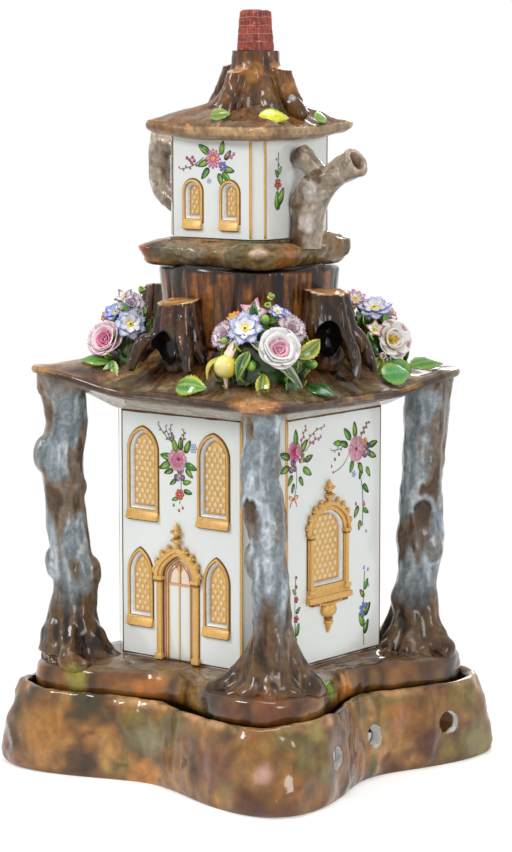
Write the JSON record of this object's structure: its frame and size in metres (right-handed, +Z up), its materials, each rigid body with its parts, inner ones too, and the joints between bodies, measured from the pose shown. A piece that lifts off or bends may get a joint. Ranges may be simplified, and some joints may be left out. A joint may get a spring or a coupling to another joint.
{
  "type": "veilleuse",
  "caption": "Porcelain night-light tea warmer: a Gothic house under a tree-borne stump roof, with a lamp inside and a lift-off teapot on top.",
  "frame": {"origin": "on the table, under the middle of the plinth", "axes": "+Z up, -Y out of the door facade, +X towards the spout and the oriel facade with the air holes"},
  "size_m": [0.2004, 0.2034, 0.4005],
  "materials": {
    "porcelain": "glossy white glaze",
    "gilding": "fired gold on the glaze",
    "rock": "glossy amber and olive glaze",
    "trunk_glaze": "glossy grey-blue glaze with brown patches",
    "brown_glaze": "glossy dark brown glaze",
    "bark": "glossy brown glaze in bark flutes",
    "branch_glaze": "glossy beige and brown glaze",
    "brick": "brick red with pale joints",
    "petal_pink": "glossy, pink hearts and pale rims",
    "petal_white": "glossy white with coloured tips",
    "petal_blue": "glossy white with blue rims",
    "lemon_yellow": "glossy yellow",
    "leaf_green": "glossy green and yellow",
    "cork": "bare cork",
    "tin": "thin tinned sheet",
    "wick": "woven cotton"
  },
  "bodies": {
    "plinth": {"plinth": "rock"},
    "lamp": {"lamp_cup": "porcelain"},
    "float": {"float_cork": "cork", "float_plate": "tin", "wick": "wick"},
    "teapot": {"teapot_saucer": "brown_glaze", "teapot_body": "porcelain", "pot_window_front_left": "gilding", "pot_window_front_right": "gilding", "pot_window_back_left": "gilding", "pot_window_back_right": "gilding", "teapot_spout": "branch_glaze", "teapot_handle": "branch_glaze"},
    "lid": {"lid_roof": "brown_glaze", "lid_stump": "bark", "chimney": "brick"},
    "stand": {"terrace": "rock", "house_walls": "porcelain", "door_surround": "gilding", "door_leaves": "porcelain", "window_front_upper_left": "gilding", "window_front_upper_right": "gilding", "window_front_lower_left": "gilding", "window_front_lower_right": "gilding", "window_back_upper_left": "gilding", "window_back_upper_right": "gilding", "window_back_lower_left": "gilding", "window_back_lower_right": "gilding", "oriel_right": "gilding", "oriel_left": "gilding", "trunk_front": "trunk_glaze", "trunk_right": "trunk_glaze", "trunk_back": "trunk_glaze", "trunk_left": "trunk_glaze", "canopy": "brown_glaze", "collar": "bark", "stump_right": "bark", "stump_back": "bark", "stump_left": "bark", "stump_front": "bark", "greenery_front": "leaf_green", "greenery_right": "leaf_green", "greenery_back": "leaf_green", "greenery_left": "leaf_green", "rose_front": "petal_pink", "primula_front": "petal_blue", "star_front": "petal_white", "daisy_front": "petal_white", "lemon_front": "lemon_yellow", "anemone_right": "petal_white", "primula_right": "petal_blue", "daisy_right": "petal_white", "rose_back": "petal_pink", "primula_back": "petal_blue", "daisy_back": "petal_white", "rose_left": "petal_pink", "primula_left": "petal_blue", "star_left": "petal_white", "daisy_left": "petal_blue"}
  },
  "joints": [
    {"name": "lamp_lift", "type": "slide", "parent": "plinth", "child": "lamp", "axis": [0, 0, 1], "range_m": [0, 0.1]},
    {"name": "float_lift", "type": "slide", "parent": "lamp", "child": "float", "axis": [0, 0, 1], "range_m": [0, 0.05]},
    {"name": "stand_lift", "type": "slide", "parent": "plinth", "child": "stand", "axis": [0, 0, 1], "range_m": [0, 0.12]},
    {"name": "teapot_lift", "type": "slide", "parent": "stand", "child": "teapot", "axis": [0, 0, 1], "range_m": [0, 0.1]},
    {"name": "lid_lift", "type": "slide", "parent": "teapot", "child": "lid", "axis": [0, 0, 1], "range_m": [0, 0.08]}
  ]
}
